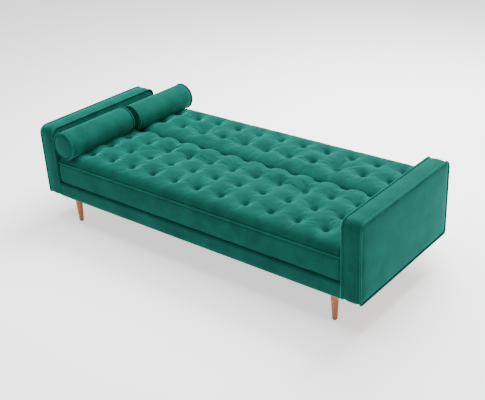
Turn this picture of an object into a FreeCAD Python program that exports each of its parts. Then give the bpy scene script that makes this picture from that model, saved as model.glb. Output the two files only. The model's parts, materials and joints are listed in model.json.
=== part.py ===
import FreeCAD, Part
import math
import os

from FreeCAD import Vector

# Futon sofa bed, drawn with its back folded flat. Millimetres, +Z up, +X to the right as seen
# from the front, +Y towards the back. Everything is drawn from the arms' front plane (Y = 0) and
# moved back by half the bed's depth when it is saved, so the origin is under the middle of it.

# ---- Driving dimensions -------------------------------------------------------------------------
overall_width = 2140.0
bed_depth = 980.0
arm_thickness = 105.0
arm_depth = 825.0
arm_top = 585.0
underside = 166.0           # floor to the covered edge of the base and arms
pad_top = 424.0             # mean height of the tufted surface, seat and flat back alike
seat_depth_end = 562.0      # rear face of the seat pad
hinge_y = 565.0
hinge_z = 385.0

# ---- Base and legs ------------------------------------------------------------------------------
inner_half = overall_width / 2 - arm_thickness
board = 22.0
cover_wrap = 3.0            # upholstery over the front rail
rail_front = 6.0
rail_low = underside + cover_wrap
rail_cover_top = 248.0
rail_top = 253.0
base_rear = 790.0
cross_rail_x = (-480.0, 0.0, 480.0)
leg_x = 893.0
leg_front_y = 63.0
leg_rear_y = 742.0
leg_centre_y = 403.0
leg_top_radius = 22.0
leg_bottom_radius = 13.5
glide_height = 3.0
glide_radius = 11.0
block_size = 80.0
block_length = 90.0
block_height = 50.0
centre_block_width = 40.0
bolt_radius = 4.0
bolt_clearance = 0.1
bolt_head_height = 5.0
arm_bolt_y = (160.0, 400.0, 660.0)
arm_bolt_rise = 40.0
arm_bolt_reach = 45.0       # into the arm's frame
leg_bolt_half = 40.0        # half in the leg, half in its block
seat_bolt_length = 90.0
seat_bolt_depth = 60.0
lining_thickness = 1.0
lining_hole_gap = 2.0       # round each leg

# ---- Arms ---------------------------------------------------------------------------------------
arm_corner_top = 45.0
arm_corner_low = 18.0
arm_padding = 15.0
arm_edge_padding = 20.0
arm_timber = 60.0
welt_radius = 3.5
welt_proud = 0.6            # how far a piping cord stands out of the cover beside it

# ---- Pads ---------------------------------------------------------------------------------------
pad_half = 940.0
pad_wall = 8.0
seat_front = 11.0
front_roll = 30.0
seat_rear_roll = 38.0
pad_floor_gap = 2.0         # between a pad's wall and the frame in it
frame_height = 45.0
spring_room = 13.0          # over the frame, under the padding
welt_height = 381.0
welt_corner = 25.0
spring_x = [-840.0 + 210.0 * i for i in range(9)]
spring_wire = 1.8
spring_half_width = 22.0
spring_pitch = 26.0
spring_rise = 1.0           # of the wire above the boards
clip_size = 14.0
seat_core_y = (seat_front + pad_wall + pad_floor_gap, seat_depth_end - pad_wall - pad_floor_gap)
back_front = 568.0
back_slope_low = 375.0
back_slope_end = 645.0
back_low = 296.0
back_cover_thickness = 3.0
back_cover_margin = 2.0
support_x = (-720.0, -240.0, 240.0, 720.0)
support_half = 35.0
support_pad_half = 25.0
support_pad_height = 5.0
support_gap = 0.3           # under the back while nobody lies on it

# ---- Folding hinges, one each side --------------------------------------------------------------
plate = 3.0
plate_gap = 0.5
ear_radius = 22.0
sector_radius = 34.0
notch_depth = 6.0
notch_angles = (35.0, 45.0, 55.0, 65.0, 75.0)
pawl_bearing = 238.0        # direction from the hinge axis to the pawl's nose, from +Y towards +Z
pivot_radius = 5.0
running_clearance = 0.05
pawl_y = 502.0
pawl_z = 352.0
pawl_pin_radius = 3.0
pawl_tail = 18.0            # from the pawl's pin to its spring
spring_post_radius = 1.5
coil_pitch = 2.2
coil_radius = 2.6
coil_wire = 0.5
strip_height = 36.0
strip_rise = 4.0            # above the bottom of the frame that it is screwed to
seat_strip_start = 410.0
seat_strip_end = 554.0
back_foot_y = (630.0, 720.0)
seat_screw_y = (430.0, 530.0)
back_screw_y = (650.0, 700.0)
screw_radius = 3.0
screw_head_height = 2.5
screw_depth = 28.0

# ---- Bolsters -----------------------------------------------------------------------------------
bolster_radius = 77.0
bolster_welt = 3.0
front_bolster = (4.0, 490.0)
rear_bolster = (496.0, 979.5)
front_bolster_gap = 1.5     # to the left arm's inner face
rear_bolster_gap = 15.0
front_bolster_lift = 0.5    # above the mean pad surface
rear_bolster_lift = 6.5

nodes = {}


def box(x, y, z):
    """A block between low and high values on each axis."""
    return Part.makeBox(x[1] - x[0], y[1] - y[0], z[1] - z[0], Vector(x[0], y[0], z[0]))


def mirrored(shape):
    """The same shape on the other side of the middle plane."""
    return shape.mirror(Vector(0, 0, 0), Vector(1, 0, 0))


def drilled(shape, tools):
    """The shape with each tool's volume taken out."""
    for tool in tools:
        shape = shape.cut(tool)
    return shape


def main_solid(shape):
    """The largest solid, without the slivers that a groove along an edge leaves outside it."""
    return max(shape.Solids, key=lambda solid: solid.Volume)


def prism(points, x_low, x_high):
    """A plate with a polygon outline of (y, z) points, between two X values."""
    corners = [Vector(x_low, y, z) for y, z in points]
    face = Part.Face(Part.makePolygon(corners + corners[:1]))
    return face.extrude(Vector(x_high - x_low, 0, 0))


def cross_rod(radius, x_low, x_high, y, z):
    """A round bar along X."""
    return Part.makeCylinder(radius, x_high - x_low, Vector(x_low, y, z), Vector(1, 0, 0))


def loop_wire(corners, radii, lift):
    """A closed outline with rounded corners; lift turns an (a, b) pair into a point."""
    count = len(corners)
    edges = []
    ends = []
    for i in range(count):
        corner = lift(*corners[i])
        before = lift(*corners[i - 1]) - corner
        after = lift(*corners[(i + 1) % count]) - corner
        before.normalize()
        after.normalize()
        bisector = before + after
        bisector.normalize()
        start = corner + before * radii[i]
        end = corner + after * radii[i]
        middle = corner + bisector * (radii[i] * (math.sqrt(2) - 1))
        ends.append((start, end))
        edges.append(Part.Arc(start, middle, end).toShape())
    for i in range(count):
        edges.insert(2 * i + 1, Part.LineSegment(ends[i][1], ends[(i + 1) % count][0]).toShape())
    return Part.Wire(edges)


def ring_tube(wire, radius):
    """A round cord that follows a closed outline."""
    start = wire.Edges[1].valueAt(wire.Edges[1].FirstParameter)
    along = wire.Edges[1].tangentAt(wire.Edges[1].FirstParameter)
    section = Part.Wire(Part.makeCircle(radius, start, along))
    path = Part.Wire([wire.Edges[i] for i in range(1, len(wire.Edges))] + [wire.Edges[0]])
    tube = path.makePipeShell([section], True, False)
    return tube if tube.Volume > 0 else tube.reversed()


# ---- Base ---------------------------------------------------------------------------------------
def hanger_bolt(x, y, z_low, length):
    """A double-ended screw, standing upright."""
    return Part.makeCylinder(bolt_radius, length, Vector(x, y, z_low))


def build_base():
    rail_rear_face = rail_front + board
    rear_face = base_rear - board
    side_inner = inner_half - board
    rails_z = (rail_low, rail_top)
    front_core_z = (rail_low, rail_cover_top - cover_wrap)
    front_rail = box((-inner_half, inner_half), (rail_front, rail_rear_face), front_core_z)
    cover = box((-inner_half, inner_half), (rail_front - cover_wrap, rail_rear_face),
                (underside, rail_cover_top))
    nodes["front_rail"] = front_rail
    nodes["front_rail_cover"] = cover.cut(front_rail)
    nodes["rear_rail"] = box((-inner_half, inner_half), (rear_face, base_rear), rails_z)

    between = (rail_rear_face, rear_face)
    bolt_z = rail_low + arm_bolt_rise
    bolt_end = inner_half + arm_bolt_reach
    hole_radius = bolt_radius + bolt_clearance
    shanks = [cross_rod(bolt_radius, side_inner, bolt_end, y, bolt_z) for y in arm_bolt_y]
    holes = [cross_rod(hole_radius, side_inner, bolt_end, y, bolt_z) for y in arm_bolt_y]
    heads = [cross_rod(2 * bolt_radius, side_inner - bolt_head_height, side_inner, y, bolt_z)
             for y in arm_bolt_y]
    bolts = [shank.fuse(head) for shank, head in zip(shanks, heads)]
    side_rail = drilled(box((side_inner, inner_half), between, rails_z), holes)
    nodes["side_rail_right"] = side_rail
    nodes["side_rail_left"] = mirrored(side_rail)
    nodes["arm_bolts"] = Part.makeCompound(bolts + [mirrored(b) for b in bolts])

    seat_bolt_y = (seat_core_y[0] + board / 2, seat_core_y[1] - board / 2)
    seat_bolts = []
    names = ("left", "centre", "right")
    leg_screw = hanger_bolt(0, leg_centre_y, rail_low, leg_bolt_half)
    for name, x in zip(names, cross_rail_x):
        rail = box((x - board / 2, x + board / 2), between, rails_z)
        if x == 0:
            rail = rail.cut(leg_screw)
        else:
            for y in seat_bolt_y:
                seat_bolts.append(hanger_bolt(x, y, rail_top - seat_bolt_depth, seat_bolt_length))
            rail = drilled(rail, seat_bolts)
        nodes["cross_rail_" + name] = rail
    nodes["seat_bolts"] = Part.makeCompound(seat_bolts)

    blocks = []
    for x_sign in (-1, 1):
        x = sorted((x_sign * side_inner, x_sign * (side_inner - block_length)))
        for y in ((rail_rear_face, rail_rear_face + block_size), (rear_face - block_size, rear_face)):
            blocks.append(box(x, y, (rail_low, rail_low + block_height)))
        x = sorted((x_sign * board / 2, x_sign * (board / 2 + centre_block_width)))
        y = (leg_centre_y - block_size / 2, leg_centre_y + block_size / 2)
        blocks.append(box(x, y, (rail_low, rail_low + block_height)))
    return blocks, seat_bolts


# ---- Legs ---------------------------------------------------------------------------------------
def build_legs(blocks):
    places = {
        "front_left": (-leg_x, leg_front_y),
        "front_right": (leg_x, leg_front_y),
        "rear_left": (-leg_x, leg_rear_y),
        "rear_right": (leg_x, leg_rear_y),
        "centre": (0.0, leg_centre_y),
    }
    bolts = []
    glides = []
    for name, (x, y) in places.items():
        bolt = hanger_bolt(x, y, rail_low - leg_bolt_half, 2 * leg_bolt_half)
        leg = Part.makeCone(leg_bottom_radius, leg_top_radius, rail_low - glide_height,
                            Vector(x, y, glide_height))
        nodes["leg_" + name] = leg.cut(bolt)
        bolts.append(bolt)
        glides.append(Part.makeCylinder(glide_radius, glide_height, Vector(x, y, 0)))
    nodes["leg_bolts"] = Part.makeCompound(bolts)
    nodes["leg_glides"] = Part.makeCompound(glides)
    nodes["leg_blocks"] = Part.makeCompound([drilled(block, bolts) for block in blocks])
    side_inner = inner_half - board
    sheet = box((-side_inner, side_inner), (rail_front + board, base_rear - board),
                (rail_low - lining_thickness, rail_low))
    holes = [Part.makeCylinder(leg_top_radius + lining_hole_gap, block_height, Vector(x, y, underside - 1))
             for x, y in places.values()]
    nodes["dust_cover"] = drilled(sheet, holes)
    nodes["cross_rail_centre"] = drilled(nodes["cross_rail_centre"], bolts)


# ---- Arms ---------------------------------------------------------------------------------------
def arm_outline(x, inset):
    """The arm's outline as seen from the side, moved inwards all round."""
    low = (inset, underside + inset)
    high = (arm_depth - inset, arm_top - inset)
    corners = [low, (high[0], low[1]), high, (low[0], high[1])]
    radii = [arm_corner_low - inset, arm_corner_low - inset, arm_corner_top - inset, arm_corner_top - inset]
    return loop_wire(corners, radii, lambda y, z: Vector(x, y, z))


def build_arms():
    outer = overall_width / 2
    body = Part.Face(arm_outline(inner_half + welt_proud, welt_proud))
    body = body.extrude(Vector(arm_thickness - 2 * welt_proud, 0, 0))
    core_x = (inner_half + arm_padding, outer - arm_padding)
    core_y = (arm_edge_padding, arm_depth - arm_edge_padding)
    core = box(core_x, core_y, (underside, arm_top - arm_edge_padding))
    welts = [ring_tube(arm_outline(x, welt_radius), welt_radius)
             for x in (outer - welt_radius, inner_half + welt_radius)]
    holes = [bolt for bolt in nodes["arm_bolts"].Solids if bolt.BoundBox.XMax > 0]
    pad = main_solid(drilled(body.cut(core), welts + holes))
    middle = arm_depth / 2
    window_z = (underside + arm_timber, arm_top - arm_edge_padding - arm_timber)
    windows = [box(core_x, (core_y[0] + arm_timber, middle - arm_timber / 2), window_z),
               box(core_x, (middle + arm_timber / 2, core_y[1] - arm_timber), window_z)]
    timber = drilled(core, windows + holes)
    parts = {"arm_pad": pad, "arm_frame": timber, "arm_welts": Part.makeCompound(welts)}
    for name, shape in parts.items():
        nodes[name + "_right"] = shape
        nodes[name + "_left"] = mirrored(shape)


# ---- Seat and back ------------------------------------------------------------------------------
def timber_frame(y, z):
    """A glued rectangle of boards with two cross pieces."""
    outer = pad_half - pad_wall
    shape = box((-outer, outer), y, z)
    bay = 2 * outer / 3
    for i in range(3):
        low = -outer + i * bay + (board if i == 0 else board / 2)
        high = -outer + (i + 1) * bay - (board if i == 2 else board / 2)
        shape = shape.cut(box((low, high), (y[0] + board, y[1] - board), z))
    return shape


def zigzag_spring(x, y_low, y_high, z):
    """A sinuous spring: half turns joined by straight runs, in one level plane."""
    turns = round((y_high - y_low) / spring_pitch)
    pitch = (y_high - y_low) / turns
    half = spring_half_width - pitch / 2
    edges = [Part.LineSegment(Vector(x - half, y_low, z), Vector(x + half, y_low, z)).toShape()]
    side = 1
    for i in range(turns):
        y = y_low + i * pitch
        start = Vector(x + side * half, y, z)
        middle = Vector(x + side * (half + pitch / 2), y + pitch / 2, z)
        end = Vector(x + side * half, y + pitch, z)
        edges.append(Part.Arc(start, middle, end).toShape())
        edges.append(Part.LineSegment(end, Vector(x - side * half, end.y, z)).toShape())
        side = -side
    section = Part.Wire(Part.makeCircle(spring_wire, Vector(x - half, y_low, z), Vector(1, 0, 0)))
    return Part.Wire(edges).makePipeShell([section], True, False)


def springs_and_clips(y, rail_z):
    """The row of springs and the clips that hold their ends on the boards' tops."""
    z = rail_z + spring_wire + spring_rise
    springs = [zigzag_spring(x, y[0] + board / 2, y[1] - board / 2, z) for x in spring_x]
    half = clip_size / 2
    clip_z = (rail_z, z + spring_wire + spring_rise)
    clips = []
    for x, spring in zip(spring_x, springs):
        for row in (y[0] + board / 2, y[1] - board / 2):
            clip = box((x - half / 2, x + half / 2), (row - half, row + half), clip_z)
            clips.append(clip.cut(spring))
    return Part.makeCompound(springs), Part.makeCompound(clips)


def pad_welt(y):
    """The piping cord round a pad, sunk in its sides and half proud at its long edge."""
    x = pad_half - welt_radius
    corners = [(-x, y[0]), (x, y[0]), (x, y[1]), (-x, y[1])]
    wire = loop_wire(corners, [welt_corner] * 4, lambda a, b: Vector(a, b, welt_height))
    return ring_tube(wire, bolster_welt)


def edges_along_x(shape, y, z):
    """The edges that run along X at one (y, z) place."""
    found = []
    for edge in shape.Edges:
        b = edge.BoundBox
        if b.XLength > overall_width / 2 and abs(b.YMin - y) < 0.1 and abs(b.ZMax - z) < 0.1:
            if b.YLength < 0.1 and b.ZLength < 0.1:
                found.append(edge)
    return found


def build_seat(seat_bolts):
    inner = pad_half - pad_wall
    frame_z = (rail_top, rail_top + frame_height)
    frame = timber_frame(seat_core_y, frame_z)
    springs, clips = springs_and_clips(seat_core_y, frame_z[1])
    body = box((-pad_half, pad_half), (seat_front, seat_depth_end), (rail_top, pad_top))
    body = body.makeFillet(front_roll, edges_along_x(body, seat_front, pad_top))
    body = body.makeFillet(seat_rear_roll, edges_along_x(body, seat_depth_end, pad_top))
    cavity = box((-inner, inner), seat_core_y, (rail_top, frame_z[1] + spring_room))
    welt = pad_welt((seat_front + 1, seat_depth_end - 5))
    nodes["seat_frame"] = drilled(frame, seat_bolts)
    nodes["seat_springs"] = springs
    nodes["seat_spring_clips"] = clips
    nodes["seat_pad"] = main_solid(drilled(body, [cavity, welt]))
    nodes["seat_welt"] = welt


def build_back():
    inner = pad_half - pad_wall
    core_y = (back_front + pad_wall + pad_floor_gap, bed_depth - pad_wall - pad_floor_gap)
    frame_z = (back_low, back_low + frame_height)
    springs, clips = springs_and_clips(core_y, frame_z[1])
    outline = [(back_front, back_low), (bed_depth, back_low), (bed_depth, pad_top),
               (back_slope_end, pad_top), (back_front, back_slope_low)]
    body = prism(outline, -pad_half, pad_half)
    body = body.makeFillet(front_roll, edges_along_x(body, bed_depth, pad_top))
    cavity = box((-inner, inner), core_y, (back_low, frame_z[1] + spring_room))
    welt = pad_welt((back_front + 32, bed_depth - 3.5))
    nodes["back_frame"] = timber_frame(core_y, frame_z)
    nodes["back_springs"] = springs
    nodes["back_spring_clips"] = clips
    nodes["back_pad"] = main_solid(drilled(body, [cavity, welt]))
    nodes["back_welt"] = welt
    cover_x = pad_half - back_cover_margin
    nodes["back_cover"] = box((-cover_x, cover_x),
                              (back_front + back_cover_margin, bed_depth - back_cover_margin),
                              (back_low - back_cover_thickness, back_low))


def build_supports():
    """Posts with rubber tops on the rear rail, which carry the flat back."""
    blocks = []
    pads = []
    y = (base_rear - board, base_rear)
    pad_high = back_low - back_cover_thickness - support_gap
    pad_low = pad_high - support_pad_height
    for x in support_x:
        blocks.append(box((x - support_half, x + support_half), y, (rail_top, pad_low)))
        pads.append(box((x - support_pad_half, x + support_pad_half), y, (pad_low, pad_high)))
    nodes["back_support_blocks"] = Part.makeCompound(blocks)
    nodes["back_support_pads"] = Part.makeCompound(pads)


# ---- Folding hinges -----------------------------------------------------------------------------
def around_hinge(radius, degrees):
    """A (y, z) place at a distance and bearing from the hinge axis."""
    angle = math.radians(degrees)
    return hinge_y + radius * math.cos(angle), hinge_z + radius * math.sin(angle)


def build_hinges():
    inner_x = (pad_half, pad_half + plate)
    outer_x = (inner_x[1] + plate_gap, inner_x[1] + plate_gap + plate)
    bore = cross_rod(pivot_radius + running_clearance, pad_half - 30, pad_half + 30, hinge_y, hinge_z)
    strip_z = (rail_top + strip_rise, rail_top + strip_rise + strip_height)
    tail_y = pawl_y - pawl_tail

    screw_z = strip_z[0] + strip_height / 2
    seat_screws = [cross_rod(screw_radius, pad_half - screw_depth, inner_x[1], y, screw_z)
                   for y in seat_screw_y]
    seat_heads = [cross_rod(2 * screw_radius, inner_x[1], inner_x[1] + screw_head_height, y, screw_z)
                  for y in seat_screw_y]
    seat_plate = box(inner_x, (seat_strip_start, seat_strip_end), strip_z)
    riser = prism([(tail_y + 6, strip_z[1]), (seat_strip_end, strip_z[1]),
                   (hinge_y + 18, hinge_z - 10), (hinge_y - 8, hinge_z + 20)], *inner_x)
    ear = cross_rod(ear_radius, *inner_x, hinge_y, hinge_z)
    spring_post = cross_rod(spring_post_radius, inner_x[1] - 1, inner_x[1] + 9, tail_y, strip_z[1] - 6)
    pawl_pin = cross_rod(pawl_pin_radius, inner_x[0], inner_x[1] + 7, pawl_y, pawl_z)
    seat_plate = seat_plate.fuse(riser).fuse(ear).removeSplitter()
    seat_plate = drilled(seat_plate, [bore, pawl_pin, spring_post] + seat_screws)

    arm_z = (back_low + strip_rise, back_low + strip_rise + strip_height)
    screw_z = arm_z[0] + strip_height / 2
    back_screws = [cross_rod(screw_radius, pad_half - screw_depth, outer_x[1], y, screw_z)
                   for y in back_screw_y]
    back_heads = [cross_rod(2 * screw_radius, outer_x[1], outer_x[1] + screw_head_height, y, screw_z)
                  for y in back_screw_y]
    sector = cross_rod(sector_radius, *outer_x, hinge_y, hinge_z)
    arm = prism([(hinge_y + 4, arm_z[0]), (back_foot_y[1], arm_z[0]), (back_foot_y[1], arm_z[1]),
                 (hinge_y + 40, arm_z[1]), (hinge_y + 30, hinge_z), (hinge_y + 4, hinge_z)], *outer_x)
    foot = box((pad_half, outer_x[0]), back_foot_y, arm_z)
    notches = []
    for turned in notch_angles:
        bearing = pawl_bearing - turned
        notches.append(prism([around_hinge(sector_radius + 1, bearing + 4),
                              around_hinge(sector_radius - notch_depth, bearing + 1),
                              around_hinge(sector_radius + 1, bearing - 5)],
                             outer_x[0] - 1, outer_x[1] + 1))
    back_plate = sector.fuse(arm).fuse(foot).removeSplitter()
    back_plate = drilled(back_plate, [bore] + notches + back_screws)

    nose = around_hinge(sector_radius + 0.4, pawl_bearing)
    pawl_x = (outer_x[0] + 0.2, outer_x[1] - 0.2)
    lever = prism([(tail_y - 5, pawl_z + 4), (tail_y - 5, pawl_z - 4), (nose[0] + 4, pawl_z - 8),
                   (nose[0] + 4, nose[1] - 6), nose, (nose[0] - 5, nose[1] - 5),
                   (pawl_y + 6, pawl_z + 6), (pawl_y - 6, pawl_z + 6)], *pawl_x)
    pawl_bore = cross_rod(pawl_pin_radius + running_clearance, *pawl_x, pawl_y, pawl_z)
    hook_hole = cross_rod(spring_post_radius, *pawl_x, tail_y, pawl_z)
    pawl = drilled(lever, [pawl_bore, hook_hole])

    coil_x = outer_x[1] + coil_radius + 0.9
    coil_low = strip_z[1] - 2
    helix = Part.makeHelix(coil_pitch, pawl_z - 6 - coil_low, coil_radius)
    section = Part.Wire(Part.makeCircle(coil_wire, Vector(coil_radius, 0, 0), Vector(0, 1, 0)))
    spring = Part.Wire(helix).makePipeShell([section], True, True)
    spring.translate(Vector(coil_x, tail_y, coil_low))

    pivot = cross_rod(pivot_radius, pad_half - 9, outer_x[1] + 1, hinge_y, hinge_z)
    pivot_head = cross_rod(1.8 * pivot_radius, outer_x[1] + 0.3, outer_x[1] + 5, hinge_y, hinge_z)
    nut = cross_rod(1.7 * pivot_radius, pad_half - 8, pad_half - 0.5, hinge_y, hinge_z)
    pivot = pivot.fuse(pivot_head).fuse(nut)
    pocket = cross_rod(2.4 * pivot_radius, pad_half - 20, pad_half + 1, hinge_y, hinge_z)

    sides = {
        "seat_hinge_plate": seat_plate,
        "back_hinge_plate": back_plate,
        "hinge_pivot": pivot,
        "pawl": pawl,
        "pawl_pin": pawl_pin,
        "pawl_spring": spring,
    }
    for name, shape in sides.items():
        nodes[name + "_right"] = shape
        nodes[name + "_left"] = mirrored(shape)

    both = {}
    groups = {"seat_plate_screws": (seat_screws, seat_heads), "back_plate_screws": (back_screws, back_heads)}
    for name, (shanks, heads) in groups.items():
        right = [shank.fuse(head) for shank, head in zip(shanks, heads)]
        both[name] = right + [mirrored(screw) for screw in right]
        nodes[name] = Part.makeCompound(both[name])
    pockets = [pocket, mirrored(pocket)]
    for part in ("seat", "back"):
        screws = both[part + "_plate_screws"]
        nodes[part + "_frame"] = drilled(nodes[part + "_frame"], screws)
        nodes[part + "_pad"] = drilled(nodes[part + "_pad"], screws + pockets)


# ---- Bolsters -----------------------------------------------------------------------------------
def build_bolsters():
    places = {
        "bolster_front": (front_bolster, front_bolster_gap, front_bolster_lift),
        "bolster_rear": (rear_bolster, rear_bolster_gap, rear_bolster_lift),
    }
    for name, (y, gap, lift) in places.items():
        x = -inner_half + gap + bolster_radius
        z = pad_top + lift + bolster_radius
        body = Part.makeCylinder(bolster_radius - welt_proud, y[1] - y[0] - 2 * welt_proud,
                                 Vector(x, y[0] + welt_proud, z), Vector(0, 1, 0))
        ends = (y[0] + bolster_welt, y[1] - bolster_welt)
        welts = [Part.makeTorus(bolster_radius - bolster_welt, bolster_welt, Vector(x, end, z),
                                Vector(0, 1, 0)) for end in ends]
        nodes[name] = main_solid(drilled(body, welts))
        nodes[name + "_welts"] = Part.makeCompound(welts)


blocks, seat_bolts = build_base()
build_legs(blocks)
build_arms()
build_seat(seat_bolts)
build_back()
build_supports()
build_hinges()
build_bolsters()

os.makedirs("parts", exist_ok=True)
for name, shape in nodes.items():
    placed = shape.copy()
    placed.translate(Vector(0, -bed_depth / 2, 0))
    placed.exportStep("parts/" + name + ".step")
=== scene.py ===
import json
import math

import bpy
import numpy as np
from mathutils import Matrix, Vector, noise


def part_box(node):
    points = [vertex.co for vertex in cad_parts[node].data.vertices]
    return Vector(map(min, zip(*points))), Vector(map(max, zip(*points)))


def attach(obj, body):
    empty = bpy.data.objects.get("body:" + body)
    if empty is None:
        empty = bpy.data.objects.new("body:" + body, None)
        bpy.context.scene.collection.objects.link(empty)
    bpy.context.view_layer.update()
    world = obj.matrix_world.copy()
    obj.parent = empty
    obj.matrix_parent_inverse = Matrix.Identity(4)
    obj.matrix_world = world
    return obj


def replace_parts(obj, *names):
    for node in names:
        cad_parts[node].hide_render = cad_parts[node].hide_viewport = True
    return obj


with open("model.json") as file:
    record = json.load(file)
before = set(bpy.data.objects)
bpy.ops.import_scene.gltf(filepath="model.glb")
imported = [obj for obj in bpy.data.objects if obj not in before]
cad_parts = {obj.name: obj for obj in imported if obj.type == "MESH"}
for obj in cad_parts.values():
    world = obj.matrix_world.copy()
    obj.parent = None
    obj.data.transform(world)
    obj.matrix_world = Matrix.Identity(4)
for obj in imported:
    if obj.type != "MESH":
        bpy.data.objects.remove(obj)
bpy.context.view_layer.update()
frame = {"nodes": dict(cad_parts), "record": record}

MM = 0.001

# ---- Sizes, in metres ---------------------------------------------------------------------------
TUFT_PITCH = 0.1595             # along the bed
TUFT_COLUMNS = 11
SEAT_ROWS = (0.118, 0.262, 0.405)       # from the seat cushion's front edge
BACK_ROWS = (0.155, 0.296)              # from the back cushion's hinge edge
TUFT_DEPTH = 0.033
TUFT_WIDTH = 0.020              # how far the pull of a tuft reaches
TUFT_HELD = 0.0055              # radius of the patch that a tuft holds
GATHER_WIDTH = 0.026            # how far the pull of a gather at the edge reaches
GRID = 0.0066                   # between the points of a cushion's top
SEAM_CLIMB = 0.013              # of both cushions' seams where they meet
SEAM_CLIMB_REACH = 0.12
CORNER = 0.020                  # radius of a cushion's corners, seen from above
SIDE_GAP = 0.004                # between a cushion's cover and the arm
HINGE_CLEARANCE = 0.008         # beside the hinge plates
BOXING_LEVELS = (0.025, 0.06, 0.1, 0.16, 0.25, 0.35, 0.45, 0.55, 0.65, 0.75, 0.84, 0.91, 0.96, 1.0)
BOXING_BULGE = 0.0055
BOXING_GROOVE = 0.004           # just under the piping
BOXING_TUCK = 0.005             # of the front's bottom edge
UNEVENNESS = 0.0012             # of a stuffed cover
PIPING = 0.0048                 # radius of a covered cord
ARM_RADII = (0.018, 0.045)      # of the panels' bottom and top corners
PANEL_INSETS = (0.0, 0.004, 0.008, 0.014, 0.024, 0.04, 0.06, 0.09, 0.12, 0.15, 0.175)
PANEL_EDGE = 0.004              # from the arm's solid in to its cover's seam
PANEL_PUFF = 0.003
BAND_CROWN = 0.009
SEAM_DEPTH = 0.006              # of the valley that a piping cord lies in
BOLSTER_RADIUS = 0.080
BOLSTER_DOME = 0.010            # how far a bolster's end swells past its seam
BOLSTER_LIE = {                 # from its solid: to the right, down, near end, far end
    "front": (0.002, 0.0045, -0.005, 0.008),
    "rear": (0.008, 0.0105, 0.016, 0.015),
}
LINING_SAG = 0.0022


# ---- Meshes -------------------------------------------------------------------------------------
def new_piece(name, points, faces, body, material):
    """A smooth-shaded mesh that rides on a body."""
    mesh = bpy.data.meshes.new(name)
    mesh.from_pydata([tuple(p) for p in points], [], faces)
    mesh.validate()
    mesh.shade_smooth()
    piece = bpy.data.objects.new(name, mesh)
    bpy.context.scene.collection.objects.link(piece)
    mesh.materials.append(material)
    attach(piece, body)
    return piece


def strip_faces(rows, columns, first=0, wrap=False, flip=False):
    """Quads between rows of points; wrap joins each row's last point to its first."""
    faces = []
    for i in range(rows - 1):
        for j in range(columns if wrap else columns - 1):
            k = (j + 1) % columns
            quad = (first + i * columns + j, first + i * columns + k,
                    first + (i + 1) * columns + k, first + (i + 1) * columns + j)
            faces.append(quad[::-1] if flip else quad)
    return faces


def tube_mesh(path, radius, sides=10):
    """Points and faces of a round cord along a closed path."""
    path = [Vector(p) for p in path]
    count = len(path)
    tangents = [(path[(i + 1) % count] - path[i - 1]).normalized() for i in range(count)]
    normal = tangents[0].orthogonal().normalized()
    normals = []
    for t in tangents:
        normal = (normal - t * normal.dot(t)).normalized()
        normals.append(normal)
    points = []
    for i in range(count):
        t, n = tangents[i], normals[i]
        b = t.cross(n)
        for j in range(sides):
            a = 2 * math.pi * j / sides
            points.append(path[i] + (n * math.cos(a) + b * math.sin(a)) * radius)
    faces = strip_faces(count, sides, wrap=True)
    last = (count - 1) * sides
    shift = min(range(sides), key=lambda s: (points[last] - points[s]).length)
    for j in range(sides):
        k = (j + 1) % sides
        faces.append((last + j, last + k, (k + shift) % sides, (j + shift) % sides))
    return points, faces


def ripple(place, size, seed):
    """Smooth unevenness between -1 and 1 at a place, with waves about as long as size."""
    return noise.noise(Vector(place) / size + Vector((seed * 7.3, seed * 3.1, seed * 5.7)))


def bolster_place(which):
    """A bolster's centre line and its two ends, as it lies along the left arm."""
    low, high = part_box("bolster_" + which)
    right, down, near, far = BOLSTER_LIE[which]
    centre = Vector(((low.x + high.x) / 2 + right, 0, (low.z + high.z) / 2 - down))
    return centre, (low.y + near, high.y + far)


# ---- Cloth --------------------------------------------------------------------------------------
def swell(points, faces, held, growth, pressure, steps, cap):
    """Where a cover ends up: sewn down at the held points, pushed out by the stuffing elsewhere.
    Growth is the spare cloth as a share of its length, cap the furthest that a point may go."""
    mesh = bpy.data.meshes.new("pattern")
    mesh.from_pydata(points.tolist(), [], faces)
    pattern = bpy.data.objects.new("pattern", mesh)
    scene = bpy.context.scene
    scene.collection.objects.link(pattern)
    group = pattern.vertex_groups.new(name="held")
    group.add([int(i) for i in held], 1.0, "REPLACE")
    cloth = pattern.modifiers.new("cloth", "CLOTH")
    settings = cloth.settings
    settings.quality = 4
    settings.mass = 0.05
    settings.tension_stiffness = 25
    settings.compression_stiffness = 25
    settings.shear_stiffness = 8
    settings.bending_stiffness = 0.5
    settings.vertex_group_mass = "held"
    settings.shrink_min = -growth
    settings.use_pressure = True
    settings.uniform_pressure_force = pressure
    settings.effector_weights.gravity = 0
    cloth.collision_settings.use_collision = False
    cloth.point_cache.frame_start = 1
    cloth.point_cache.frame_end = steps
    for step in range(1, steps + 1):
        scene.frame_set(step)
    moved = pattern.evaluated_get(bpy.context.evaluated_depsgraph_get()).data
    after = np.empty(len(points) * 3)
    moved.vertices.foreach_get("co", after)
    bpy.data.objects.remove(pattern)
    scene.frame_set(1)
    move = after.reshape(-1, 3) - points
    reach = np.linalg.norm(move, axis=1, keepdims=True)
    return points + move * np.minimum(1.0, cap / np.maximum(reach, 1e-9))


# ---- Colours and materials ----------------------------------------------------------------------
def linear(code, alpha=1.0):
    """An sRGB hex code as a linear colour."""
    values = [int(code[i:i + 2], 16) / 255 for i in (1, 3, 5)]
    return tuple(v / 12.92 if v <= 0.04045 else ((v + 0.055) / 1.055) ** 2.4 for v in values) + (alpha,)


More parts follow.
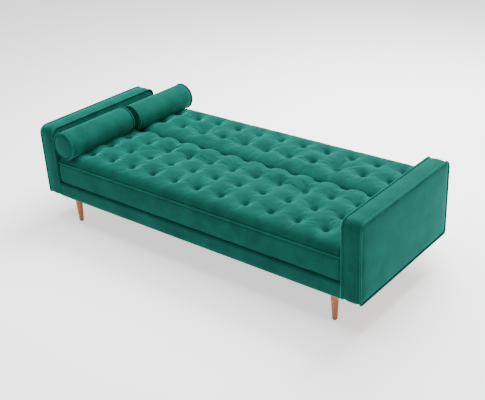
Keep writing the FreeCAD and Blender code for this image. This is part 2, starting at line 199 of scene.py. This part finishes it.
def add(tree, kind, settings=None, links=None):
    """A node with its settings, and links given as {input: (node, output)}."""
    node = tree.nodes.new(kind)
    for key, value in (settings or {}).items():
        if isinstance(key, int) or key in node.inputs:
            node.inputs[key].default_value = value
        else:
            setattr(node, key, value)
    for key, (source, output) in (links or {}).items():
        tree.links.new(source.outputs[output], node.inputs[key])
    return node


def start_material(name):
    """An empty material, its node tree and the output that gives places on the object."""
    material = bpy.data.materials.new(name)
    material.use_nodes = True
    tree = material.node_tree
    tree.nodes.clear()
    return material, tree, (add(tree, "ShaderNodeTexCoord"), "Object")


def finish_material(material, tree, shade, tones, height, relief, settings, stops=(0.3, 0.7)):
    """Colours the surface between two hex tones by the shade output and raises it by the height
    output, where relief is (strength, millimetres), under a shader with these settings."""
    ramp = add(tree, "ShaderNodeValToRGB", links={"Fac": shade})
    for element, stop, tone in zip(ramp.color_ramp.elements, stops, tones):
        element.position = stop
        element.color = linear(tone)
    bump = add(tree, "ShaderNodeBump", {"Strength": relief[0], "Distance": relief[1] * MM},
               {"Height": height})
    shader = add(tree, "ShaderNodeBsdfPrincipled", settings,
                 {"Base Color": (ramp, "Color"), "Normal": (bump, "Normal")})
    add(tree, "ShaderNodeOutputMaterial", links={"Surface": (shader, "BSDF")})
    return material


def velvet(name, deep, light, pile=1.2):
    """Cut-pile polyester velvet: a soft matt body whose upright pile shines at grazing angles,
    with brushed patches where the nap leans another way. The pile is drawn at 1.2 mm, coarser
    than the real 0.3 mm, because finer would not show."""
    material, tree, place = start_material(name)
    patches = add(tree, "ShaderNodeTexNoise",
                  {"Scale": 1 / (90 * MM), "Detail": 3.0, "Roughness": 0.55}, {"Vector": place})
    fibre = add(tree, "ShaderNodeTexNoise", {"Scale": 1 / (pile * MM), "Detail": 2.0},
                {"Vector": place})
    nap = add(tree, "ShaderNodeMath", {"operation": "MULTIPLY_ADD", 1: 0.35},
              {0: (fibre, "Fac"), 2: (patches, "Fac")})
    settings = {"Roughness": 0.9, "Specular IOR Level": 0.05, "Sheen Weight": 1.0,
                "Sheen Roughness": 0.35, "Sheen Tint": linear("#40c8b8")}
    return finish_material(material, tree, (nap, "Value"), (deep, light), (fibre, "Fac"),
                           (0.25, 0.3), settings, (0.3, 1.0))


def lacquered_beech():
    """Beech stained warm brown under satin lacquer: long fine grain with short darker flecks."""
    material, tree, place = start_material("lacquered_beech")
    stretched = add(tree, "ShaderNodeMapping", {"Scale": (1.0, 1.0, 0.12)}, {"Vector": place})
    grain = add(tree, "ShaderNodeTexNoise",
                {"Scale": 1 / (4 * MM), "Detail": 5.0, "Roughness": 0.6},
                {"Vector": (stretched, "Vector")})
    return finish_material(material, tree, (grain, "Fac"), ("#783602", "#a85603"), (grain, "Fac"),
                           (0.15, 0.2), {"Roughness": 0.36, "Coat Weight": 0.3, "Coat Roughness": 0.25},
                           (0.35, 0.68))


def sawn_pine():
    """Sawn pine boards, unfinished: pale, with wide grain and a dry matt face."""
    material, tree, place = start_material("sawn_pine")
    stretched = add(tree, "ShaderNodeMapping", {"Scale": (0.08, 1.0, 1.0)}, {"Vector": place})
    grain = add(tree, "ShaderNodeTexNoise",
                {"Scale": 1 / (9 * MM), "Detail": 4.0, "Distortion": 0.4},
                {"Vector": (stretched, "Vector")})
    return finish_material(material, tree, (grain, "Fac"), ("#b58a57", "#dcbb8b"), (grain, "Fac"),
                           (0.3, 0.3), {"Roughness": 0.75})


def metal(name, low, high, roughness, grain, coated=False):
    """Sheet or wire steel. Coated is black powder coat with a fine orange-peel; otherwise bare or
    zinc plated, with the faint mottling of the plating bath."""
    material, tree, place = start_material(name)
    mottle = add(tree, "ShaderNodeTexNoise", {"Scale": 1 / (grain * MM), "Detail": 3.0},
                 {"Vector": place})
    return finish_material(material, tree, (mottle, "Fac"), (low, high), (mottle, "Fac"), (0.12, 0.1),
                           {"Roughness": roughness, "Metallic": 0.0 if coated else 1.0})


def moulded(name, low, high, roughness, grain):
    """Moulded plastic or rubber: one dark colour with a fine spark-eroded grain."""
    material, tree, place = start_material(name)
    speck = add(tree, "ShaderNodeTexNoise", {"Scale": 1 / (grain * MM), "Detail": 2.0},
                {"Vector": place})
    return finish_material(material, tree, (speck, "Fac"), (low, high), (speck, "Fac"), (0.3, 0.1),
                           {"Roughness": roughness})


def spunbond():
    """Black spunbond polypropylene, the thin cloth under furniture, with bond dots 3 mm apart."""
    material, tree, place = start_material("spunbond")
    dots = add(tree, "ShaderNodeTexVoronoi", {"Scale": 1 / (3 * MM)}, {"Vector": place})
    return finish_material(material, tree, (dots, "Distance"), ("#0c0c0d", "#242426"),
                           (dots, "Distance"), (0.4, 0.2), {"Roughness": 0.9}, (0.1, 0.6))


VELVET = velvet("green_velvet", "#05362f", "#0d4e43")
# The piping's velvet is a lighter copy of the cover's velvet, a painted highlight that stands in for
# the light the cords catch along the seams.
PIPING_VELVET_PAINTED_HIGHLIGHT = velvet("piping_velvet_painted_highlight", "#064136", "#0e5448", 0.9)
LINING = spunbond()
FINISHES = {
    "velvet": VELVET,
    "piping": PIPING_VELVET_PAINTED_HIGHLIGHT,
    "lining": LINING,
    "leg_wood": lacquered_beech(),
    "frame_timber": sawn_pine(),
    "hinge_steel": metal("powder_coated_steel", "#121314", "#1d1e20", 0.5, 1.5, coated=True),
    "zinc_steel": metal("zinc_plated_steel", "#9c9fa3", "#c3c6c9", 0.35, 6),
    "spring_steel": metal("oiled_spring_wire", "#55575a", "#77797c", 0.32, 3),
    "glide_plastic": moulded("nylon_glide", "#141415", "#1e1e20", 0.55, 0.8),
    "rubber": moulded("black_rubber", "#101010", "#1a1a1a", 0.8, 0.8),
}
for part in frame["record"]["subparts"]:
    node = frame["nodes"][part["node"]]
    node.data.materials.clear()
    node.data.materials.append(FINISHES[part["material_slot"]])


# ---- Tufted cushions ----------------------------------------------------------------------------
def edge_run(low, high, reach_low, reach_high, step):
    """Places across a cushion from edge to edge, and how far up its rolled edges each one is."""
    def roll(reach):
        count = max(4, round(reach * 1.4 / step))
        turns = [math.pi / 2 * k / count for k in range(count + 1)]
        return [(reach * (1 - math.cos(a)), math.sin(a)) for a in turns]
    start, end = low + reach_low, high - reach_high
    count = round((end - start) / step)
    flat = [(start + (end - start) * k / count, 1.0) for k in range(1, count)]
    return ([(low + run, up) for run, up in roll(reach_low)] + flat
            + [(high - run, up) for run, up in reversed(roll(reach_high))])


def round_corners(points, x, y, radius):
    """Bends a rectangular sheet's square corners into round ones."""
    for corner_x, turn_x in ((x[0], 1), (x[1], -1)):
        for corner_y, turn_y in ((y[0], 1), (y[1], -1)):
            u = 1 - (points[:, 0] - corner_x) * turn_x / radius
            v = 1 - (points[:, 1] - corner_y) * turn_y / radius
            near = (u > 0) & (v > 0)
            u, v = u[near], v[near]
            points[near, 0] = corner_x + turn_x * radius * (1 - u * np.sqrt(1 - v * v / 2))
            points[near, 1] = corner_y + turn_y * radius * (1 - v * np.sqrt(1 - u * u / 2))


def press(points, which):
    """A bolster's weight pushes the cushion under it down."""
    centre, ends = bolster_place(which)
    off = np.abs(points[:, 0] - centre.x)
    under = off < BOLSTER_RADIUS
    past = np.maximum(0, np.maximum(ends[0] - points[:, 1], points[:, 1] - ends[1]))
    surface = centre.z - np.sqrt(np.maximum(0, BOLSTER_RADIUS ** 2 - off ** 2)) + past
    points[under, 2] = np.minimum(points[under, 2], surface[under] - MM)


def clear_hinges(points):
    """Draws a cushion's sides in where the hinge plates stand between it and the arms."""
    blend_in, blend_along, rise, blend_up = 0.05, 0.04, 0.024, 0.018
    plate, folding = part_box("seat_hinge_plate_right"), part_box("back_hinge_plate_right")
    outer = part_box("arm_pad_right")[0].x - SIDE_GAP
    inner = plate[0].x - HINGE_CLEARANCE
    start = inner - blend_in
    past = np.maximum(plate[0].y - points[:, 1], points[:, 1] - folding[1].y)
    beside = np.clip(1 - past / blend_along, 0, 1)
    below = np.clip((folding[1].z + rise - points[:, 2]) / blend_up, 0, 1)
    across = np.abs(points[:, 0])
    drawn = (across - start) * (outer - inner) / (outer - start)
    drawn = drawn * beside ** 2 * (3 - 2 * beside) * below
    points[:, 0] -= np.sign(points[:, 0]) * np.where(across > start, drawn, 0)


def held_near(distance):
    """The points within a tuft's patch, or else the nearest one."""
    return np.flatnonzero(distance < TUFT_HELD).tolist() or [int(distance.argmin())]


def pull_tufts(top, y, rows, edge_pull, fold_side):
    """Draws the sheet down at every tuft and gather, and gives the points that they hold."""
    held = set()
    for column in range(TUFT_COLUMNS):
        centre_x = TUFT_PITCH * (column - (TUFT_COLUMNS - 1) / 2)
        for row in rows:
            distance = np.hypot(top[:, 0] - centre_x, top[:, 1] - y[0] - row)
            top[:, 2] -= TUFT_DEPTH * np.exp(-(distance / TUFT_WIDTH) ** 1.5)
            held.update(held_near(distance))
        if edge_pull:
            place, inwards, down = edge_pull
            distance = np.hypot(top[:, 0] - centre_x, (top[:, 1] - place) * 0.8)
            distance[np.abs(top[:, 1] - fold_side) < 2 * MM] = 1.0
            weight = np.exp(-(distance / GATHER_WIDTH) ** 1.4)
            top[:, 1] -= inwards * weight
            top[:, 2] -= down * weight
            held.update(held_near(distance))
    return held


def hang_boxing(top, border, faces, bottom, seed):
    """The cushion's side walls, from the seam round its top down to a flat bottom. Gives all the
    cushion's points and the line that the piping follows."""
    ring = top[border]
    turn = np.roll(ring, -1, axis=0) - np.roll(ring, 1, axis=0)
    outwards = np.stack([turn[:, 1], -turn[:, 0], np.zeros(len(ring))], axis=1)
    outwards /= np.linalg.norm(outwards, axis=1, keepdims=True)
    facing_front = np.clip(-outwards[:, 1], 0, 1) ** 4
    uneven = np.array([ripple(point, 0.09, seed) for point in ring]) * UNEVENNESS
    layers = [top]
    above = border
    for share in BOXING_LEVELS:
        arch = math.sin(math.pi * share)
        bulge = BOXING_BULGE * arch ** 0.6 - BOXING_GROOVE * math.exp(-(share / 0.06) ** 2)
        tuck = facing_front * BOXING_TUCK * max(0.0, share - 0.85) / 0.15
        layer = ring + outwards * (bulge - tuck + uneven * arch)[:, None]
        layer[:, 2] = ring[:, 2] + (bottom - ring[:, 2]) * share
        first = sum(len(points) for points in layers)
        below = list(range(first, first + len(border)))
        for j in range(len(border)):
            k = (j + 1) % len(border)
            faces.append((above[k], above[j], below[j], below[k]))
        layers.append(layer)
        above = below
    faces.append(tuple(above))
    return np.vstack(layers), ring + outwards * 3 * MM


def tufted_cushion(name, body, x, y, z, rows, edge_pull, reach, fold_side, calm, seed, bolster):
    """A closed cushion: a rolled, tufted top above its seam and a boxing below it. z is (bottom,
    seam, top), reach is how far the roll at (sides, front, rear) runs in, and edge_pull is
    (place, inwards, down) of the tufts that gather the rear edge. The seam climbs a little
    towards fold_side, the long side where the two cushions meet, and the cover lies smooth for
    about calm inside the (front, rear) edges."""
    across = edge_run(x[0], x[1], reach[0], reach[0], GRID)
    along = edge_run(y[0], y[1], reach[1], reach[2], GRID)
    nx, ny = len(across), len(along)
    top = []
    for px, up_x in across:
        for py, up_y in along:
            seam = z[1] + SEAM_CLIMB * max(0.0, 1 - abs(py - fold_side) / SEAM_CLIMB_REACH)
            top.append((px, py, seam + (z[2] - seam) * up_x * up_y))
    top = np.array(top)
    held = pull_tufts(top, y, rows, edge_pull, fold_side)
    round_corners(top, x, y, CORNER)
    border = [i * ny for i in range(nx)] + [(nx - 1) * ny + j for j in range(1, ny)]
    border += [i * ny + ny - 1 for i in range(nx - 2, -1, -1)] + list(range(ny - 2, 0, -1))
    held.update(border)
    faces = strip_faces(nx, ny, flip=True)
    swollen = swell(top, faces, sorted(held), growth=0.03, pressure=8, steps=16, cap=0.02)
    free = np.minimum((top[:, 1] - y[0]) / calm[0], (y[1] - top[:, 1]) / calm[1])
    top += (swollen - top) * np.clip(free, 0, 1)[:, None]
    press(top, bolster)
    clear_hinges(top)
    points, piping_line = hang_boxing(top, border, faces, z[0], seed)
    cushion = new_piece(name, points, faces, body, VELVET)
    return cushion, piping_line


def build_cushions():
    inner = [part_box("arm_pad_left")[1].x + SIDE_GAP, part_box("arm_pad_right")[0].x - SIDE_GAP]
    seams = [(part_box(welt)[0].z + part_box(welt)[1].z) / 2 for welt in ("seat_welt", "back_welt")]
    low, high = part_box("seat_pad")
    seat, line = tufted_cushion(
        "seat_cushion", "base", inner, (low.y + 0.002, high.y), (low.z, seams[0], high.z + 0.006),
        SEAT_ROWS, edge_pull=(high.y - 0.014, 0.012, 0.024), reach=(0.030, 0.055, 0.024),
        fold_side=high.y, calm=(0.09, 0.02), seed=1, bolster="front")
    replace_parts(seat, "seat_pad")
    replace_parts(make_piping("seat_piping", "base", line), "seat_welt")
    low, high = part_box("back_pad")
    back, line = tufted_cushion(
        "back_cushion", "back", inner, (low.y, high.y - 0.004), (low.z, seams[1], high.z + 0.008),
        BACK_ROWS, edge_pull=None, reach=(0.030, 0.075, 0.030),
        fold_side=low.y, calm=(0.10, 0.05), seed=2, bolster="rear")
    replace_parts(back, "back_pad")
    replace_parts(make_piping("back_piping", "back", line), "back_welt")


def make_piping(name, body, path):
    points, faces = tube_mesh(path, PIPING)
    # The cords wear the lighter copy of the velvet, a painted highlight.
    return new_piece(name, points, faces, body, PIPING_VELVET_PAINTED_HIGHLIGHT)


# ---- Arms ---------------------------------------------------------------------------------------
def rounded_outline(y, z, radii, inset, per_side=40, per_corner=10):
    """Points round a rectangle with rounded corners: radii are (bottom, top), all moved inwards."""
    y0, y1, z0, z1 = y[0] + inset, y[1] - inset, z[0] + inset, z[1] - inset
    low, top = (max(radius - inset, 4 * MM) for radius in radii)
    corners = [(y1 - low, z0 + low, low, -90), (y1 - top, z1 - top, top, 0),
               (y0 + top, z1 - top, top, 90), (y0 + low, z0 + low, low, 180)]
    points = []
    for i, (cy, cz, radius, start) in enumerate(corners):
        for k in range(per_corner + 1):
            a = math.radians(start + 90 * k / per_corner)
            points.append((cy + radius * math.cos(a), cz + radius * math.sin(a)))
        cy, cz, radius, start = corners[(i + 1) % 4]
        a = math.radians(start)
        end = (cy + radius * math.cos(a), cz + radius * math.sin(a))
        here = points[-1]
        for k in range(1, per_side):
            share = k / per_side
            points.append(tuple(from_ + (to - from_) * share for from_, to in zip(here, end)))
    return points


def build_arm(side):
    """One arm: two flat panels, and between their piping a band that crowns over the foam."""
    low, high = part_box("arm_pad_" + side)
    y, z = (low.y, high.y), (low.z, high.z)
    half = (high.x - low.x) / 2
    middle = (high.x + low.x) / 2
    rings = []
    for inset in reversed(PANEL_INSETS):
        puff = SEAM_DEPTH * (1 - math.exp(-inset / 0.012)) + PANEL_PUFF * (1 - math.exp(-inset / 0.08))
        rings.append((-half + SEAM_DEPTH - puff, inset))
    panel = list(rings)
    band = 12
    for k in range(1, band):
        share = k / band
        crown = BAND_CROWN * math.sin(math.pi * share) ** 0.5
        rings.append((-half + SEAM_DEPTH + 2 * (half - SEAM_DEPTH) * share, PANEL_EDGE - crown))
    rings += [(-offset, inset) for offset, inset in reversed(panel)]
    points = []
    for offset, inset in rings:
        for py, pz in rounded_outline(y, z, ARM_RADII, inset + PANEL_EDGE):
            sway = UNEVENNESS * ripple((py, pz, offset), 0.12, 3 if side == "left" else 4)
            points.append((middle + offset + (sway if inset > 0.01 else 0), py, pz))
    count = len(points) // len(rings)
    faces = strip_faces(len(rings), count, wrap=True, flip=True)
    faces.append(tuple(range(count)))
    faces.append(tuple(range(len(points) - 1, len(points) - count - 1, -1)))
    arm = new_piece("arm_cover_" + side, points, faces, "base", VELVET)
    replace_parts(arm, "arm_pad_" + side)
    welts = []
    for name, offset in (("inner", -1), ("outer", 1)):
        at = middle + (offset if side == "right" else -offset) * (half - 2.8 * MM)
        path = [(at, py, pz) for py, pz in rounded_outline(y, z, ARM_RADII, 2.4 * MM)]
        welts.append(make_piping("arm_piping_" + name + "_" + side, "base", path))
    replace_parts(welts[0], "arm_welts_" + side)


# ---- Rails and the rear of the back -------------------------------------------------------------
def padded_panel(name, body, x, y, z, radius, crown, node, seed, axis):
    """A thin upholstered panel. axis 1 faces front and back, axis 2 faces up and down."""
    step, rows = 0.012, 14
    columns = int((x[1] - x[0]) / step)
    across = y if axis == 2 else z
    thick = z if axis == 2 else y
    section = []
    for side in (0, 1):
        for k in range(rows + 1):
            share = k / rows
            edge = min(share, 1 - share) * (across[1] - across[0])
            rise = radius * (1 - math.sqrt(max(0.0, 1 - (1 - min(edge / radius, 1)) ** 2)))
            puff = crown * math.sin(math.pi * share)
            height = (thick[1] - rise + puff) if side else (thick[0] + rise - puff)
            place = across[0] + (across[1] - across[0]) * (share if side == 0 else 1 - share)
            section.append((place, height))
    points = []
    for i in range(columns + 1):
        px = x[0] + (x[1] - x[0]) * i / columns
        for place, height in section:
            height += UNEVENNESS * ripple((px, place, height), 0.07, seed)
            points.append((px, place, height) if axis == 2 else (px, height, place))
    count = len(section)
    faces = strip_faces(columns + 1, count, wrap=True, flip=(axis == 1))
    ends = [tuple(range(count)), tuple(range(len(points) - 1, len(points) - count - 1, -1))]
    faces += [e[::-1] for e in ends] if axis == 1 else ends
    piece = new_piece(name, points, faces, body, VELVET)
    if node:
        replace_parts(piece, node)


def build_panels():
    low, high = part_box("front_rail_cover")
    bottom, top = low.z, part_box("seat_pad")[0].z - 0.5 * MM
    padded_panel("rail_cover", "base", (low.x, high.x), (low.y, high.y + MM), (bottom, top),
                 radius=0.010, crown=0.003, node="front_rail_cover", seed=5, axis=1)
    low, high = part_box("rear_rail")
    padded_panel("rear_rail_cover", "base", (low.x, high.x), (high.y - MM, high.y + 4 * MM),
                 (bottom, high.z + MM), radius=0.002, crown=0.001, node=None, seed=7, axis=1)
    low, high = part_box("back_cover")
    padded_panel("back_rear_panel", "back", (low.x, high.x), (low.y, high.y), (low.z, high.z),
                 radius=0.001, crown=0.003, node="back_cover", seed=6, axis=2)


# ---- Bolsters -----------------------------------------------------------------------------------
def build_bolster(which, seed):
    """A stuffed roll with round shoulders and a swelling disc sewn in at each end behind piping."""
    centre, ends = bolster_place(which)
    around, along = 96, 60
    seams = (ends[0] + BOLSTER_DOME, ends[1] - BOLSTER_DOME)
    near = []
    for share in (0.12, 0.35, 0.58, 0.76, 0.89, 0.965):
        swelling = BOLSTER_DOME * (1 - share ** 4) - 0.003 * share ** 12
        near.append((seams[0] - swelling, share * (BOLSTER_RADIUS - 0.003)))
    rings = list(near)
    length = seams[1] - seams[0]
    for k in range(along + 1):
        share = 0.5 - 0.5 * math.cos(math.pi * k / along)
        run = min(share, 1 - share) * length
        shoulder = 0.0035 * max(0.0, 1 - run / 0.035) ** 2 + 0.003 * math.exp(-run / 0.004)
        rings.append((seams[0] + length * share, BOLSTER_RADIUS - shoulder))
    rings += [(seams[0] + seams[1] - ring_y, radius) for ring_y, radius in reversed(near)]
    points = []
    for ring_y, radius in rings:
        run = max(0.0, min(ring_y - seams[0], seams[1] - ring_y))
        for j in range(around):
            a = 2 * math.pi * j / around
            pleat = 0.0011 * math.exp(-run / 0.018) * math.sin(24 * a + 2 * math.sin(5 * a + seed))
            lumps = 0.0016 * ripple((math.cos(a) * 0.08, ring_y, math.sin(a) * 0.08), 0.07, seed)
            full = radius + (pleat + lumps) * (radius / BOLSTER_RADIUS) ** 2
            points.append((centre.x + full * math.cos(a), ring_y, centre.z + full * math.sin(a)))
    faces = strip_faces(len(rings), around, wrap=True, flip=True)
    faces.append(tuple(range(around)))
    faces.append(tuple(range(len(points) - 1, len(points) - around - 1, -1)))
    body = "bolster_" + which
    roll = new_piece("bolster_cover_" + which, points, faces, body, VELVET)
    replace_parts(roll, body)
    pipings = []
    for name, at in zip(("near", "far"), seams):
        turns = [2 * math.pi * k / around for k in range(around)]
        reach = BOLSTER_RADIUS - 2 * MM
        path = [(centre.x + reach * math.cos(a), at, centre.z + reach * math.sin(a)) for a in turns]
        pipings.append(make_piping("bolster_piping_" + name + "_" + which, body, path))
    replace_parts(pipings[0], body + "_welts")


# ---- Lining under the base ----------------------------------------------------------------------
def build_lining():
    """A thin cloth stapled under the base, sagging a little between the rails, cut round the legs."""
    low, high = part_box("dust_cover")
    names = ("front_left", "front_right", "rear_left", "rear_right", "centre")
    legs = [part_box("leg_" + name) for name in names]
    centres = [((a.x + b.x) / 2, (a.y + b.y) / 2) for a, b in legs]
    hole = (legs[0][1].x - legs[0][0].x) / 2 + 2 * MM
    nx, ny = 158, 62
    spans = 4
    width, depth = high.x - low.x, high.y - low.y
    grid = []
    for i in range(nx + 1):
        for j in range(ny + 1):
            px, py = low.x + width * i / nx, low.y + depth * j / ny
            sag = LINING_SAG * abs(math.sin(spans * math.pi * i / nx)) * math.sin(math.pi * j / ny)
            for cx, cy in centres:
                away = math.hypot(px - cx, py - cy)
                if away < hole * 1.25:
                    share = hole / max(away, 1e-6)
                    px, py = cx + (px - cx) * share, cy + (py - cy) * share
                sag *= min(1.0, max(0.0, away - hole) / 0.05)
            grid.append((px, py, low.z - sag))
    cells = []
    for i in range(nx):
        for j in range(ny):
            a = i * (ny + 1) + j
            middle = (low.x + width * (i + 0.5) / nx, low.y + depth * (j + 0.5) / ny)
            if all(math.dist(middle, c) > hole for c in centres):
                cells.append((a, a + 1, a + ny + 2, a + ny + 1))
    used = sorted({v for cell in cells for v in cell})
    number = {v: k for k, v in enumerate(used)}
    cells = [tuple(number[v] for v in cell) for cell in cells]
    under = [grid[v] for v in used]
    over = [(px, py, pz + (high.z - low.z) * 0.9) for px, py, pz in under]
    count = len(under)
    edges = {(cell[k], cell[(k + 1) % 4]) for cell in cells for k in range(4)}
    faces = list(cells) + [tuple(v + count for v in reversed(cell)) for cell in cells]
    faces += [(b, a, a + count, b + count) for a, b in edges if (b, a) not in edges]
    lining = new_piece("base_lining", under + over, faces, "base", LINING)
    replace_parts(lining, "dust_cover")


# ---- Camera, floor and light --------------------------------------------------------------------
def build_camera():
    """A long lens from the front right, looking down, with the camera tipped a little."""
    azimuth, elevation, roll = (math.radians(a) for a in (40.137, 26.873, -3.183))
    target = Vector((0.191, -0.224, 0.350))
    distance = 4.415
    back = Vector((math.sin(azimuth) * math.cos(elevation),
                   -math.cos(azimuth) * math.cos(elevation), math.sin(elevation)))
    right = (-back).cross(Vector((0, 0, 1))).normalized()
    up = back.cross(right)
    turned_right = right * math.cos(roll) + up * math.sin(roll)
    turned_up = up * math.cos(roll) - right * math.sin(roll)
    data = bpy.data.cameras.new("camera")
    data.sensor_width = 36
    data.lens = 63.13
    camera = bpy.data.objects.new("camera", data)
    matrix = Matrix((turned_right, turned_up, back)).transposed().to_4x4()
    matrix.translation = target + back * distance
    camera.matrix_world = matrix
    bpy.context.scene.collection.objects.link(camera)
    bpy.context.scene.camera = camera


def build_stage():
    """A pale floor that gives off a little light, an even pale surround and two large soft lamps."""
    half = 30
    floor_material = bpy.data.materials.new("studio_floor")
    floor_material.use_nodes = True
    shader = floor_material.node_tree.nodes["Principled BSDF"]
    shader.inputs["Base Color"].default_value = linear("#fbfbfb")
    shader.inputs["Roughness"].default_value = 0.9
    shader.inputs["Emission Color"].default_value = linear("#ffffff")
    shader.inputs["Emission Strength"].default_value = 1.0
    mesh = bpy.data.meshes.new("floor")
    corners = [(-half, -half, 0), (half, -half, 0), (half, half, 0), (-half, half, 0)]
    mesh.from_pydata(corners, [], [(0, 1, 2, 3)])
    mesh.materials.append(floor_material)
    floor = bpy.data.objects.new("floor", mesh)
    bpy.context.scene.collection.objects.link(floor)

    world = bpy.data.worlds.new("studio")
    world.use_nodes = True
    background = world.node_tree.nodes["Background"]
    background.inputs["Color"].default_value = linear("#ffffff")
    background.inputs["Strength"].default_value = 0.4
    bpy.context.scene.world = world

    lamps = {               # (place, what it points at, size in metres, watts)
        "key": ((0.1, 2.6, 3.4), (0, 0, 0.3), 2.6, 440),
        "overhead": ((0.0, 0.3, 3.6), (0, 0, 0.3), 3.5, 220),
    }
    for name, (place, towards, size, power) in lamps.items():
        data = bpy.data.lights.new(name, "AREA")
        data.size = size
        data.energy = power
        lamp = bpy.data.objects.new(name, data)
        lamp.location = place
        lamp.rotation_euler = (Vector(towards) - Vector(place)).to_track_quat("-Z", "Y").to_euler()
        bpy.context.scene.collection.objects.link(lamp)


build_camera()
build_cushions()
for side in ("left", "right"):
    build_arm(side)
build_panels()
for seed, which in enumerate(("front", "rear")):
    build_bolster(which, seed + 8)
build_lining()
build_stage()
